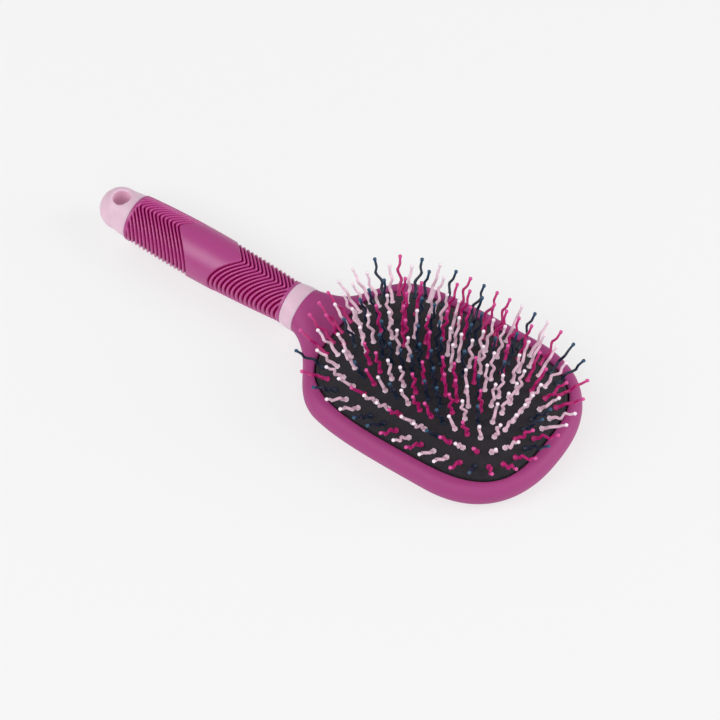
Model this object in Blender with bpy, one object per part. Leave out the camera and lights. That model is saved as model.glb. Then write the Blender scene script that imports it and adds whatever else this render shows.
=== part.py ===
"""Detangling brush lying on its back, pins up.

The origin is the middle of the paddle's flat back. +X runs to the toe of the paddle, the handle
runs to -X, and the pins point to +Z. All lengths are in metres.
"""
import math

import bmesh
import bpy
import numpy as np

# Fits
FIT_GAP = 0.0003
MERGE_DISTANCE = 0.000005
SMOOTH_ANGLE = math.radians(38)

# Paddle seen from above: an egg with a toe and a heel, widest a little toward the toe
PADDLE_WIDEST_X = 0.0188
PADDLE_TOE_REACH = 0.0414
PADDLE_HEEL_REACH = 0.0783
PADDLE_HALF_WIDTH = 0.0442
PADDLE_TOE_POWER = 2.45
PADDLE_HEEL_POWER = 3.8
PADDLE_HEEL_X = PADDLE_WIDEST_X - PADDLE_HEEL_REACH

# Paddle edge: rounded, fullest at EDGE_HEIGHT, with the crest of the rim above it
EDGE_HEIGHT = 0.0077
RIM_HEIGHT = 0.014
BACK_ROUND = 0.012
RIM_ROUND = 0.005
SECTION_POWER = 2.1

# Opening in the rim that the cushion fills, set by the width of the rim round it
RIM_SIDE_WIDTH = 0.0064
RIM_TOE_WIDTH = 0.0072
RIM_HEEL_WIDTH = 0.0066
OPENING_WIDEST_X = 0.0065
OPENING_HALF_WIDTH = PADDLE_HALF_WIDTH - RIM_SIDE_WIDTH
OPENING_TOE_REACH = PADDLE_WIDEST_X + PADDLE_TOE_REACH - RIM_TOE_WIDTH - OPENING_WIDEST_X
OPENING_HEEL_REACH = OPENING_WIDEST_X - PADDLE_HEEL_X - RIM_HEEL_WIDTH
OPENING_TOE_POWER = 3.2
OPENING_HEEL_POWER = 3.4
CORNER_SHARE = 0.63
LIP_ROUND = 0.0014
LIP_DROP = 0.0007
LEDGE_HEIGHT = 0.0065
LEDGE_WIDTH = 0.0036
RECESS_FLOOR = 0.0032
CUT_OVERRUN = 0.006

# Neck: the outline leaves the egg at a share of the heel reach and runs in one S to the collar
FLARE_START_SHARE = 0.7
FLARE_START_PULL = 0.0185
FLARE_END_PULL = 0.0183
FLARE_END_SLOPE = 0.325
NECK_LENGTH = 0.0108
NECK_END_X = PADDLE_HEEL_X - NECK_LENGTH
NECK_RISE_START_X = PADDLE_HEEL_X + RIM_HEEL_WIDTH
NECK_HALF_WIDTH = 0.0106
NECK_TOP = 0.0208
NECK_BOTTOM = 0.003
NECK_MIDDLE = 0.0119

# Cushion: a membrane whose flange rests on the ledge under a retaining ring
CUSHION_WALL = 0.0015
CROWN_HEIGHT = 0.0229
SEAM_HEIGHT = 0.015
SEAM_INSET = 0.0023
CROWN_POWER = 2.6
SPINE_HALF_LENGTH = 0.0187
END_TUCK = 0.0018
RIM_EASE_POWER = 12
ROW_SQUARENESS = 2.9
ROW_SQUARENESS_POWER = 1.2
FLANGE_THICKNESS = 0.0012
FLANGE_INSET = 0.0004
SKIRT_INSET = 0.0016
SKIRT_BULGE_INSET = 0.0008
SKIRT_BULGE_HEIGHT = 0.0126
SKIRT_SHOULDER_INSET = 0.0013
SKIRT_SHOULDER_HEIGHT = 0.0141
RETAINER_WIDTH = 0.001
RETAINER_TOP = 0.0105

# Pins: six rows that follow the cushion's outline, the innermost first
PINS_PER_QUARTER = (4, 6, 7, 9, 10, 11)
PIN_LEANS = (3, 6, 10, 19, 31, 44)
PIN_LENGTH = 0.017
PIN_FOOT_RADIUS = 0.0012
PIN_STEM_RADIUS = 0.0008
PIN_TIP_RADIUS = 0.0005
PIN_BALL_RADIUS = 0.0008
PIN_WAVE = 0.00105
PIN_BEND_SHARES = ((0.07, 0.0), (0.22, 0.0), (0.38, 1.0), (0.67, -1.0), (0.93, 0.0))
PIN_CORNER_ANGLES = (-135, -15, 105)
PIN_SEED = 11
PIN_COLOUR_SHARES = (0.45, 0.35, 0.2)

# Handle: the core is one moulding with the paddle and carries collar, sleeve and cap
HANDLE_AXIS_HEIGHT = 0.0119
CORE_RADIUS = 0.0066
CORE_BORE_RADIUS = 0.0042
CORE_BORE_DEPTH = 0.014
COLLAR_LENGTH = 0.007
COLLAR_BACK_RADIUS = 0.0099
COLLAR_SWELL = 0.0002
COLLAR_FRONT_PROUD = 0.0002
EDGE_BREAK = 0.0004
GRIP_LENGTH = 0.0822
GRIP_STATION_SHARES = (0.0, 0.313, 0.641, 1.0)
GRIP_RADII = (0.00975, 0.01135, 0.0119, 0.01075)
GRIP_BORDER = 0.0012
CAP_CONE_LENGTH = 0.0083
CAP_FACE_RADIUS = 0.0106
CAP_BALL_RADIUS = 0.0096
SPIGOT_LENGTH = 0.012
HANG_HOLE_RADIUS = 0.0039
HANG_HOLE_ROUND = 0.0008

# Ribs of the sleeve: two fields of chevrons on either side of a smooth leaf-shaped panel
GROOVES_PER_FIELD = 16
COLLAR_FIELD_START = 0.026
COLLAR_GROOVE_PITCH = 0.0021
CAP_FIELD_START = 0.0229
CAP_GROOVE_PITCH = 0.00205
GROOVE_WIDTH = 0.001
GROOVE_DEPTH = 0.0007
GROOVE_FADE = 0.0012
COLLAR_FIELD_FADES = (-165, -145, 74, 92)
CAP_FIELD_FADES = (-38, -16, 145, 165)

# Faceting
TOE_STEPS = 9
HEEL_STEPS = 5
FLARE_STEPS = 9
EDGE_STEPS = 10
EGG_STEPS = 48
ROUND_STEPS = 24
CAP_ARC_STEPS = 6
DENSE_STEPS = 240

# Colours as in the photograph, linear, with roughness
COLOURS = {
    "soft_touch_plum": ((0.34, 0.055, 0.2), 0.5),
    "grip_rubber": ((0.36, 0.04, 0.17), 0.55),
    "pale_pink_plastic": ((0.72, 0.44, 0.58), 0.4),
    "cushion_rubber": ((0.022, 0.021, 0.023), 0.8),
    "retainer_plastic": ((0.012, 0.011, 0.012), 0.6),
    "pin_pale": ((0.75, 0.42, 0.52), 0.35),
    "pin_magenta": ((0.52, 0.02, 0.16), 0.35),
    "pin_navy": ((0.012, 0.02, 0.06), 0.35),
}


def clear_scene():
    """Remove whatever objects the file opened with."""
    for old in list(bpy.data.objects):
        bpy.data.objects.remove(old, do_unlink=True)


def plastic(name):
    """Return the Principled material of that name, made on first use."""
    known = bpy.data.materials.get(name)
    if known:
        return known
    colour, roughness = COLOURS[name]
    material = bpy.data.materials.new(name)
    material.use_nodes = True
    shader = material.node_tree.nodes["Principled BSDF"]
    shader.inputs["Base Color"].default_value = (*colour, 1)
    shader.inputs["Roughness"].default_value = roughness
    shader.inputs["Metallic"].default_value = 0
    material.diffuse_color = (*colour, 1)
    return material


def add_object(name, bm, *material_names):
    """Weld the mesh, turn its faces outward and put it in the scene."""
    bmesh.ops.remove_doubles(bm, verts=bm.verts, dist=MERGE_DISTANCE)
    bmesh.ops.dissolve_degenerate(bm, dist=MERGE_DISTANCE, edges=bm.edges)
    bmesh.ops.recalc_face_normals(bm, faces=bm.faces)
    mesh = bpy.data.meshes.new(name)
    bm.to_mesh(mesh)
    bm.free()
    mesh.shade_smooth()
    mesh.set_sharp_from_angle(angle=SMOOTH_ANGLE)
    for material_name in material_names:
        mesh.materials.append(plastic(material_name))
    thing = bpy.data.objects.new(name, mesh)
    bpy.context.scene.collection.objects.link(thing)
    return thing


def cut(thing, name, bm):
    """Cut a hidden guide solid out of the thing."""
    cutter = add_object(name, bm, "retainer_plastic")
    cutter.hide_render = True
    cutter.display_type = "WIRE"
    carve = thing.modifiers.new(name, "BOOLEAN")
    carve.operation = "DIFFERENCE"
    carve.object = cutter


def ease(share):
    """Rise from 0 to 1 with flat ends as the share goes from 0 to 1."""
    held = np.clip(share, 0, 1)
    return held * held * (3 - 2 * held)


def skin(bm, sections, closed=False, caps=True):
    """Join closed sections of equal point counts, end to end or in a ring."""
    rings = []
    for section in sections:
        rings.append([bm.verts.new(point) for point in section])
    pairs = list(zip(rings, rings[1:]))
    if closed:
        pairs.append((rings[-1], rings[0]))
    for lower, upper in pairs:
        for i in range(len(lower)):
            j = (i + 1) % len(lower)
            bm.faces.new((lower[i], lower[j], upper[j], upper[i]))
    if caps and not closed:
        bm.faces.new(rings[0])
        bm.faces.new(rings[-1])


def egg(angles, widest_x, toe, heel, half_width, toe_power, heel_power):
    """Points of an egg: one superellipse quarter for the toe side, another for the heel side."""
    cosines = np.cos(angles)
    sines = np.sin(angles)
    reach = np.where(cosines >= 0, toe, heel)
    power = np.where(cosines >= 0, toe_power, heel_power)
    x = widest_x + reach * np.sign(cosines) * np.abs(cosines) ** (2 / power)
    y = half_width * np.sign(sines) * np.abs(sines) ** (2 / power)
    return np.stack([x, y], 1)


def opening_outline(angles, inset):
    """The opening's egg drawn in by the inset, with corners that tighten to keep the gap even."""
    tighter = 1 + CORNER_SHARE * inset / OPENING_HALF_WIDTH
    return egg(angles, OPENING_WIDEST_X, OPENING_TOE_REACH - inset, OPENING_HEEL_REACH - inset,
               OPENING_HALF_WIDTH - inset, OPENING_TOE_POWER * tighter,
               OPENING_HEEL_POWER * tighter)


def opening_ring(inset, height):
    """One level of a loft that follows the opening."""
    angles = np.linspace(0, 2 * math.pi, EGG_STEPS, endpoint=False)
    outline = opening_outline(angles, inset)
    return [(x, y, height) for x, y in outline]


def paddle_half_outline():
    """Outline of paddle and neck on the +Y side, from the toe to the collar."""
    share = FLARE_START_SHARE
    last_angle = math.pi - math.acos(share ** (PADDLE_HEEL_POWER / 2))
    toe = np.linspace(0, math.pi / 2, TOE_STEPS + 1)
    heel = np.linspace(math.pi / 2, last_angle, HEEL_STEPS + 1)
    angles = np.concatenate([toe, heel[1:]])
    body = egg(angles, PADDLE_WIDEST_X, PADDLE_TOE_REACH, PADDLE_HEEL_REACH, PADDLE_HALF_WIDTH,
               PADDLE_TOE_POWER, PADDLE_HEEL_POWER)
    start = body[-1]
    steepness = share ** (PADDLE_HEEL_POWER - 1)
    fall = PADDLE_HALF_WIDTH / PADDLE_HEEL_REACH * steepness
    fall = fall * (1 - share ** PADDLE_HEEL_POWER) ** (1 / PADDLE_HEEL_POWER - 1)
    leave = np.array([-1, -fall])
    leave = leave / np.linalg.norm(leave)
    arrive = np.array([-1, -FLARE_END_SLOPE])
    arrive = arrive / np.linalg.norm(arrive)
    end = np.array([NECK_END_X, NECK_HALF_WIDTH])
    near_start = start + FLARE_START_PULL * leave
    near_end = end - FLARE_END_PULL * arrive
    t = np.linspace(0, 1, FLARE_STEPS + 1)[1:, None]
    flare = ((1 - t) ** 3 * start + 3 * t * (1 - t) ** 2 * near_start
             + 3 * t * t * (1 - t) * near_end + t ** 3 * end)
    return np.concatenate([body, flare])


def neck_share(x):
    """0 on the paddle, 1 at the collar."""
    return ease((NECK_RISE_START_X - x) / (NECK_RISE_START_X - NECK_END_X))


def edge_angles():
    """Angles of the half-round edge section, from the back up to the crest."""
    return np.linspace(-math.pi / 2, math.pi / 2, EDGE_STEPS + 1)


def section_reach(angle):
    """How far out the half-round section stands at an angle, as a share of its half width."""
    return abs(math.cos(angle)) ** (2 / SECTION_POWER)


def section_rise(angle):
    """How high the half-round section stands at an angle, as a share of its half height."""
    return math.copysign(abs(math.sin(angle)) ** (2 / SECTION_POWER), math.sin(angle))


def paddle_levels():
    """Rows of points up the edge of paddle and neck, on the +Y side only."""
    outline = paddle_half_outline()
    ahead = np.gradient(outline, axis=0)
    inward = np.stack([-ahead[:, 1], ahead[:, 0]], 1)
    inward[0] = (-1, 0)
    inward = inward / np.linalg.norm(inward, axis=1, keepdims=True)
    necking = neck_share(outline[:, 0])
    straight = np.array([0, -1])
    inward = inward * (1 - necking[:, None]) + straight * necking[:, None]
    inward = inward / np.linalg.norm(inward, axis=1, keepdims=True)
    middle = EDGE_HEIGHT + (NECK_MIDDLE - EDGE_HEIGHT) * necking
    top = RIM_HEIGHT + (NECK_TOP - RIM_HEIGHT) * necking
    bottom = NECK_BOTTOM * necking
    rows = []
    for angle in edge_angles():
        lower = angle < 0
        rounding = BACK_ROUND if lower else RIM_ROUND
        depth = rounding + (outline[:, 1] - rounding) * necking
        half_height = middle - bottom if lower else top - middle
        place = outline + inward * (depth * (1 - section_reach(angle)))[:, None]
        place[:, 1] = np.maximum(place[:, 1], 0)
        height = middle + half_height * section_rise(angle)
        rows.append(np.column_stack([place, height]))
    return rows


def paddle_body():
    """The plum moulding: paddle, rim, neck and the core that runs through the handle."""
    bm = bmesh.new()
    rows = paddle_levels()
    sides = []
    for side in (1, -1):
        grid = []
        for row in rows:
            grid.append([bm.verts.new((x, side * y, z)) for x, y, z in row])
        for lower, upper in zip(grid, grid[1:]):
            for i in range(len(lower) - 1):
                bm.faces.new((lower[i], lower[i + 1], upper[i + 1], upper[i]))
        sides.append(grid)
    near, far = sides
    for level in (0, -1):
        for i in range(len(near[0]) - 1):
            bm.faces.new((near[level][i], near[level][i + 1], far[level][i + 1], far[level][i]))
    neck_end = [row[-1] for row in near] + [row[-1] for row in reversed(far)]
    angles = list(edge_angles())
    around = angles + [math.pi - angle for angle in reversed(angles)]
    core_end_x = NECK_END_X - COLLAR_LENGTH - GRIP_LENGTH
    levels = ((NECK_END_X, CORE_RADIUS), (core_end_x, CORE_RADIUS),
              (core_end_x, CORE_BORE_RADIUS), (core_end_x + CORE_BORE_DEPTH, CORE_BORE_RADIUS))
    before = neck_end
    for x, radius in levels:
        ring = []
        for angle in around:
            ring.append(bm.verts.new((x, radius * math.cos(angle),
                                      HANDLE_AXIS_HEIGHT + radius * math.sin(angle))))
        for i in range(len(ring)):
            j = (i + 1) % len(ring)
            bm.faces.new((before[i], before[j], ring[j], ring[i]))
        before = ring
    bm.faces.new(before)
    body = add_object("paddle_body", bm, "soft_touch_plum")
    hollow = bmesh.new()
    top = RIM_HEIGHT + CUT_OVERRUN
    skin(hollow, [opening_ring(-LIP_ROUND - CUT_OVERRUN, top),
                  opening_ring(-LIP_ROUND, RIM_HEIGHT),
                  opening_ring(-LIP_DROP / 2, RIM_HEIGHT - LIP_DROP / 2),
                  opening_ring(0, RIM_HEIGHT - LIP_DROP - LIP_DROP),
                  opening_ring(0, LEDGE_HEIGHT),
                  opening_ring(LEDGE_WIDTH, LEDGE_HEIGHT),
                  opening_ring(LEDGE_WIDTH, RECESS_FLOOR)])
    cut(body, "recess_cutter", hollow)


def retaining_ring():
    """A thin ring pressed in beside the skirt, which holds the cushion's flange down."""
    bottom = LEDGE_HEIGHT + FIT_GAP + FLANGE_THICKNESS + FIT_GAP
    outside = FIT_GAP
    inside = FIT_GAP + RETAINER_WIDTH
    bm = bmesh.new()
    skin(bm, [opening_ring(outside, bottom), opening_ring(outside, RETAINER_TOP),
              opening_ring(inside, RETAINER_TOP), opening_ring(inside, bottom)], closed=True)
    add_object("retaining_ring", bm, "retainer_plastic")


def cushion_surround():
    """The cushion's rolled skirt: flange on the ledge, bulge under the lip, up to the seam."""
    flange_bottom = LEDGE_HEIGHT + FIT_GAP
    flange_top = flange_bottom + FLANGE_THICKNESS
    skirt_inside = SKIRT_INSET + CUSHION_WALL
    knee = (RETAINER_TOP + SKIRT_BULGE_HEIGHT) / 2
    bulge_inside = SKIRT_BULGE_INSET + CUSHION_WALL
    bm = bmesh.new()
    skin(bm, [opening_ring(FLANGE_INSET, flange_bottom),
              opening_ring(FLANGE_INSET, flange_top),
              opening_ring(SKIRT_INSET, flange_top),
              opening_ring(SKIRT_INSET, knee),
              opening_ring(SKIRT_BULGE_INSET, SKIRT_BULGE_HEIGHT),
              opening_ring(SKIRT_SHOULDER_INSET, SKIRT_SHOULDER_HEIGHT),
              opening_ring(SEAM_INSET, SEAM_HEIGHT),
              opening_ring(SEAM_INSET, SEAM_HEIGHT - CUSHION_WALL),
              opening_ring(bulge_inside, SKIRT_BULGE_HEIGHT),
              opening_ring(skirt_inside, knee - FIT_GAP),
              opening_ring(skirt_inside, flange_bottom)], closed=True)
    add_object("cushion_surround", bm, "cushion_rubber")


def crown_inset():
    """Inset of the crown's outer edge, one fit gap inside the seam."""
    return SEAM_INSET + FIT_GAP


def crown_contour(share, angles):
    """Level line of the crown: the spine at share 0, the seam's egg at share 1."""
    inset = crown_inset()
    tighter = 1 + CORNER_SHARE * inset / OPENING_HALF_WIDTH
    rim_ease = share ** RIM_EASE_POWER
    widest_x = OPENING_WIDEST_X * rim_ease
    toe_end = OPENING_WIDEST_X + OPENING_TOE_REACH - inset
    heel_end = OPENING_HEEL_REACH - inset - OPENING_WIDEST_X
    spread = (END_TUCK - SPINE_HALF_LENGTH) * share - END_TUCK * rim_ease + SPINE_HALF_LENGTH
    squarer = ROW_SQUARENESS * (1 - share) ** ROW_SQUARENESS_POWER
    return egg(angles, widest_x, spread + toe_end * share - widest_x,
               spread + heel_end * share + widest_x, (OPENING_HALF_WIDTH - inset) * share,
               OPENING_TOE_POWER * tighter + squarer, OPENING_HEEL_POWER * tighter + squarer)


def crown_height(share):
    """Height of the crown's top along its level line."""
    return SEAM_HEIGHT + (CROWN_HEIGHT - SEAM_HEIGHT) * (1 - share ** CROWN_POWER)


def even_points(share, steps):
    """Points of a level line, spaced evenly by length within each of its four quarters."""
    points = []
    for quarter in range(4):
        angles = np.linspace(quarter, quarter + 1, DENSE_STEPS + 1) * math.pi / 2
        dense = crown_contour(share, angles)
        walked = np.concatenate([[0], np.cumsum(np.linalg.norm(np.diff(dense, axis=0), axis=1))])
        stops = np.linspace(0, walked[-1], steps + 1)[:-1]
        points.append(np.column_stack([np.interp(stops, walked, dense[:, 0]),
                                       np.interp(stops, walked, dense[:, 1])]))
    return np.concatenate(points)


def crown_row(share, steps, outside_line):
    """One ring of corners on the crown, with its chords inside or outside the level line."""
    halves = even_points(share, steps * 2)
    flat = halves[::2]
    if outside_line:
        bulge = halves[1::2] - (flat + np.roll(flat, -1, axis=0)) / 2
        flat = flat + (bulge + np.roll(bulge, 1, axis=0)) / 2
    return np.column_stack([flat, np.full(len(flat), crown_height(share))])


def pin_sections(foot, along, across, lean, wave_turn):
    """Triangular sections of one wavy pin from its foot to the ball, and its tip point.

    along and across are unit vectors in the cushion's surface, across pointing to the rim.
    """
    upright = np.array([0, 0, 1])
    outward = np.array([across[0], across[1], 0])
    outward = outward / np.linalg.norm(outward)
    axis = math.cos(lean) * upright + math.sin(lean) * outward
    side = np.cross(upright, outward)
    tilt = np.cross(axis, side)
    sway = math.cos(wave_turn) * side + math.sin(wave_turn) * tilt
    turns = np.radians(PIN_CORNER_ANGLES)
    sections = [[foot + PIN_FOOT_RADIUS * (math.cos(turn) * along + math.sin(turn) * across)
                 for turn in turns]]
    for share, swing_share in PIN_BEND_SHARES:
        centre = foot + axis * PIN_LENGTH * share + sway * PIN_WAVE * swing_share
        radius = PIN_STEM_RADIUS + (PIN_TIP_RADIUS - PIN_STEM_RADIUS) * share
        sections.append([centre + radius * (math.cos(turn) * side + math.sin(turn) * -tilt)
                         for turn in turns])
    ball = foot + axis * PIN_LENGTH
    sections.append([ball + PIN_BALL_RADIUS * (math.cos(turn) * side + math.sin(turn) * -tilt)
                     for turn in turns])
    tip = ball + axis * PIN_BALL_RADIUS
    return sections, tip


def pin_ring(number, chooser):
    """One ring of the crown's membrane with its pins, each growing out of its own cell."""
    rows = len(PINS_PER_QUARTER)
    row_pitch = (OPENING_HALF_WIDTH - crown_inset()) / rows
    half_gap = FIT_GAP / 2
    inner = (number * row_pitch + half_gap) / (rows * row_pitch) if number else 0
    outer = ((number + 1) * row_pitch - half_gap) / (rows * row_pitch)
    if number == rows - 1:
        outer = 1
    steps = PINS_PER_QUARTER[number]
    cells = steps * 4
    inside = crown_row(inner, steps, outside_line=number > 0)
    outside = crown_row(outer, steps, outside_line=False)
    drop = np.array([0, 0, CUSHION_WALL])
    bm = bmesh.new()
    top_in = [bm.verts.new(point) for point in inside]
    top_out = [bm.verts.new(point) for point in outside]
    low_in = [bm.verts.new(point - drop) for point in inside]
    low_out = [bm.verts.new(point - drop) for point in outside]
    lean = math.radians(PIN_LEANS[number])
    pin_faces = []
    for i in range(cells):
        j = (i + 1) % cells
        bm.faces.new((low_in[i], low_in[j], low_out[j], low_out[i]))
        bm.faces.new((top_out[i], top_out[j], low_out[j], low_out[i]))
        if number > 0:
            bm.faces.new((top_in[i], top_in[j], low_in[j], low_in[i]))
        foot = (inside[i] + inside[j] + outside[i] + outside[j]) / 4
        along = inside[j] + outside[j] - inside[i] - outside[i]
        along = along / np.linalg.norm(along)
        across = outside[i] + outside[j] - inside[i] - inside[j]
        across = across - along * np.dot(across, along)
        across = across / np.linalg.norm(across)
        sections, tip = pin_sections(foot, along, across, lean, chooser.uniform(0, 2 * math.pi))
        rings = [[bm.verts.new(point) for point in section] for section in sections]
        first = rings[0]
        corners = (top_in[i], top_in[j], top_out[j], top_out[i])
        bm.faces.new((corners[0], corners[1], first[0]))
        bm.faces.new((first[0], corners[1], first[1]))
        bm.faces.new((corners[1], corners[2], first[1]))
        bm.faces.new((first[1], corners[2], first[2]))
        bm.faces.new((corners[2], corners[3], first[2]))
        bm.faces.new((first[2], corners[3], first[0]))
        bm.faces.new((corners[3], corners[0], first[0]))
        point = bm.verts.new(tip)
        stem = []
        for lower, upper in zip(rings, rings[1:]):
            for k in range(len(lower)):
                m = (k + 1) % len(lower)
                stem.append(bm.faces.new((lower[k], lower[m], upper[m], upper[k])))
        last = rings[-1]
        for k in range(len(last)):
            stem.append(bm.faces.new((last[k], last[(k + 1) % len(last)], point)))
        colour = 1 + int(chooser.choice(len(PIN_COLOUR_SHARES), p=PIN_COLOUR_SHARES))
        for face in stem:
            face.material_index = colour
    add_object("pin_ring_%d" % (number + 1), bm, "cushion_rubber", "pin_pale", "pin_magenta",
               "pin_navy")


def circle(x, radius, steps=ROUND_STEPS):
    """Section round the handle's axis, counted from the top toward -Y."""
    turns = np.linspace(0, 2 * math.pi, steps, endpoint=False)
    return [(x, -radius * math.sin(turn), HANDLE_AXIS_HEIGHT + radius * math.cos(turn))
            for turn in turns]


def neck_section(x, grow):
    """The neck's end section, larger by the given amount, counted as circle counts."""
    points = []
    for turn in np.linspace(0, 2 * math.pi, ROUND_STEPS, endpoint=False):
        angle = math.pi / 2 - turn
        half_height = NECK_TOP - NECK_MIDDLE if math.sin(angle) > 0 else NECK_MIDDLE - NECK_BOTTOM
        reach = math.copysign(section_reach(angle), math.cos(angle))
        points.append((x, -(NECK_HALF_WIDTH + grow) * reach,
                       NECK_MIDDLE + (half_height + grow) * section_rise(angle)))
    return points


def blend(first, second, share):
    """Mix two sections point by point."""
    return [tuple(np.array(a) * (1 - share) + np.array(b) * share)
            for a, b in zip(first, second)]


def neck_collar():
    """The pale collar that hides the step between neck and sleeve."""
    front_x = NECK_END_X - FIT_GAP
    back_x = NECK_END_X - COLLAR_LENGTH
    bore = CORE_RADIUS + FIT_GAP
    front = neck_section(front_x - EDGE_BREAK, COLLAR_FRONT_PROUD)
    back = circle(back_x + EDGE_BREAK, COLLAR_BACK_RADIUS)
    middle = blend(neck_section(0, COLLAR_FRONT_PROUD + COLLAR_SWELL),
                   circle(0, COLLAR_BACK_RADIUS + COLLAR_SWELL), 1 / 2)
    middle_x = (front_x + back_x) / 2
    bm = bmesh.new()
    skin(bm, [neck_section(front_x, COLLAR_FRONT_PROUD - EDGE_BREAK), front,
              [(middle_x, y, z) for x, y, z in middle], back,
              circle(back_x, COLLAR_BACK_RADIUS - EDGE_BREAK),
              circle(back_x, bore), circle(front_x, bore)], closed=True)
    add_object("neck_collar", bm, "pale_pink_plastic")


def grip_radius(x):
    """Radius of the sleeve: the cubic curve through its four stations."""
    start = NECK_END_X - COLLAR_LENGTH
    share = (start - x) / GRIP_LENGTH
    curve = np.polyfit(GRIP_STATION_SHARES, np.array(GRIP_RADII) / GRIP_LENGTH, 3)
    return np.polyval(curve, share) * GRIP_LENGTH


def field_mask(turns, fades):
    """1 where a field of ribs is full, easing to 0 between its fade angles."""
    degrees = np.degrees((turns + math.pi) % (2 * math.pi) - math.pi)
    far_gone, far_full, near_full, near_gone = fades
    rise = ease((degrees - far_gone) / (far_full - far_gone))
    fall = ease((near_gone - degrees) / (near_gone - near_full))
    return rise * fall


def grip_rows():
    """Each row of the sleeve: its place on the top line, its chevron slant, depth and mask.

    The rows run from the collar to the cap. A slant of 1 puts the chevron's point toward the
    paddle, and -1 toward the cap.
    """
    start = NECK_END_X - COLLAR_LENGTH
    cap_end = start - GRIP_LENGTH
    shoulder = GROOVE_WIDTH / 2
    rows = []
    first = start - COLLAR_FIELD_START
    for i in reversed(range(GROOVES_PER_FIELD)):
        place = first + i * COLLAR_GROOVE_PITCH
        rows.append((place + shoulder, 1, 0, COLLAR_FIELD_FADES))
        rows.append((place, 1, GROOVE_DEPTH, COLLAR_FIELD_FADES))
        rows.append((place - shoulder, 1, 0, COLLAR_FIELD_FADES))
    last = cap_end + CAP_FIELD_START
    for share in (1 / 4, 1 / 2, 3 / 4):
        rows.append((first + (last - first) * share, 1 - 2 * share, 0, CAP_FIELD_FADES))
    for i in range(GROOVES_PER_FIELD):
        place = last - i * CAP_GROOVE_PITCH
        rows.append((place + shoulder, -1, 0, CAP_FIELD_FADES))
        rows.append((place, -1, GROOVE_DEPTH, CAP_FIELD_FADES))
        rows.append((place - shoulder, -1, 0, CAP_FIELD_FADES))
    return rows


def grip_sleeve():
    """The rubber sleeve with its two fields of chevron grooves."""
    start = NECK_END_X - COLLAR_LENGTH - FIT_GAP
    end = NECK_END_X - COLLAR_LENGTH - GRIP_LENGTH
    turns = np.linspace(0, 2 * math.pi, ROUND_STEPS, endpoint=False)
    wrapped = (turns + math.pi) % (2 * math.pi) - math.pi
    quarter_turn = np.clip(np.abs(wrapped), 0, math.pi / 2)
    front_border = start - GRIP_BORDER
    back_border = end + GRIP_BORDER
    bore = CORE_RADIUS + FIT_GAP
    sections = [circle(start, bore), circle(start, grip_radius(start) - EDGE_BREAK),
                circle(start - EDGE_BREAK, grip_radius(start)),
                circle(front_border, grip_radius(front_border))]
    for place, slant, depth, fades in grip_rows():
        x = place - slant * grip_radius(place) * np.sin(quarter_turn)
        x = np.clip(x, back_border, front_border)
        clear = np.minimum(front_border - x, x - back_border) / GROOVE_FADE
        radius = grip_radius(x) - depth * field_mask(turns, fades) * ease(clear)
        sections.append(np.stack([x, -radius * np.sin(turns),
                                  HANDLE_AXIS_HEIGHT + radius * np.cos(turns)], 1))
    sections += [circle(back_border, grip_radius(back_border)),
                 circle(end + EDGE_BREAK, grip_radius(end)),
                 circle(end, grip_radius(end) - EDGE_BREAK), circle(end, bore)]
    bm = bmesh.new()
    skin(bm, sections, closed=True)
    add_object("grip_sleeve", bm, "grip_rubber")


def end_cap():
    """The pale cap: a ball-nosed cone with a spigot in the core's bore and a hang hole."""
    face_x = NECK_END_X - COLLAR_LENGTH - GRIP_LENGTH - FIT_GAP
    ball_x = face_x - CAP_CONE_LENGTH
    taper = math.atan((CAP_FACE_RADIUS - CAP_BALL_RADIUS) / CAP_CONE_LENGTH)
    spigot = CORE_BORE_RADIUS - FIT_GAP
    sections = [circle(face_x + SPIGOT_LENGTH, spigot - EDGE_BREAK),
                circle(face_x + SPIGOT_LENGTH - EDGE_BREAK, spigot),
                circle(face_x, spigot), circle(face_x, CAP_FACE_RADIUS - EDGE_BREAK),
                circle(face_x - EDGE_BREAK, CAP_FACE_RADIUS)]
    for turn in np.linspace(-taper, math.pi / 2, CAP_ARC_STEPS + 1):
        sections.append(circle(ball_x - CAP_BALL_RADIUS * math.sin(turn),
                               CAP_BALL_RADIUS * math.cos(turn)))
    bm = bmesh.new()
    skin(bm, sections, caps=False)
    bm.faces.new(list(bm.verts)[:ROUND_STEPS])
    cap = add_object("end_cap", bm, "pale_pink_plastic")
    flare = HANG_HOLE_RADIUS + HANG_HOLE_ROUND
    reach = CAP_FACE_RADIUS + CUT_OVERRUN
    waist = CAP_BALL_RADIUS - HANG_HOLE_ROUND
    profile = ((reach, flare + CUT_OVERRUN), (CAP_BALL_RADIUS, flare), (waist, HANG_HOLE_RADIUS))
    levels = [(HANDLE_AXIS_HEIGHT - z, radius) for z, radius in profile]
    levels += [(HANDLE_AXIS_HEIGHT + z, radius) for z, radius in reversed(profile)]
    drill = bmesh.new()
    turns = np.linspace(0, 2 * math.pi, ROUND_STEPS, endpoint=False)
    skin(drill, [[(ball_x + radius * math.cos(turn), radius * math.sin(turn), z)
                  for turn in turns] for z, radius in levels])
    cut(cap, "hang_hole_cutter", drill)


def build():
    """Make every piece in the order in which the brush is put together."""
    clear_scene()
    paddle_body()
    cushion_surround()
    retaining_ring()
    chooser = np.random.default_rng(PIN_SEED)
    for number in range(len(PINS_PER_QUARTER)):
        pin_ring(number, chooser)
    neck_collar()
    grip_sleeve()
    end_cap()


build()
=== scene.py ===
"""Looks of the detangling brush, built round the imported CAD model. Metres, pins toward +Z."""
import math

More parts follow.
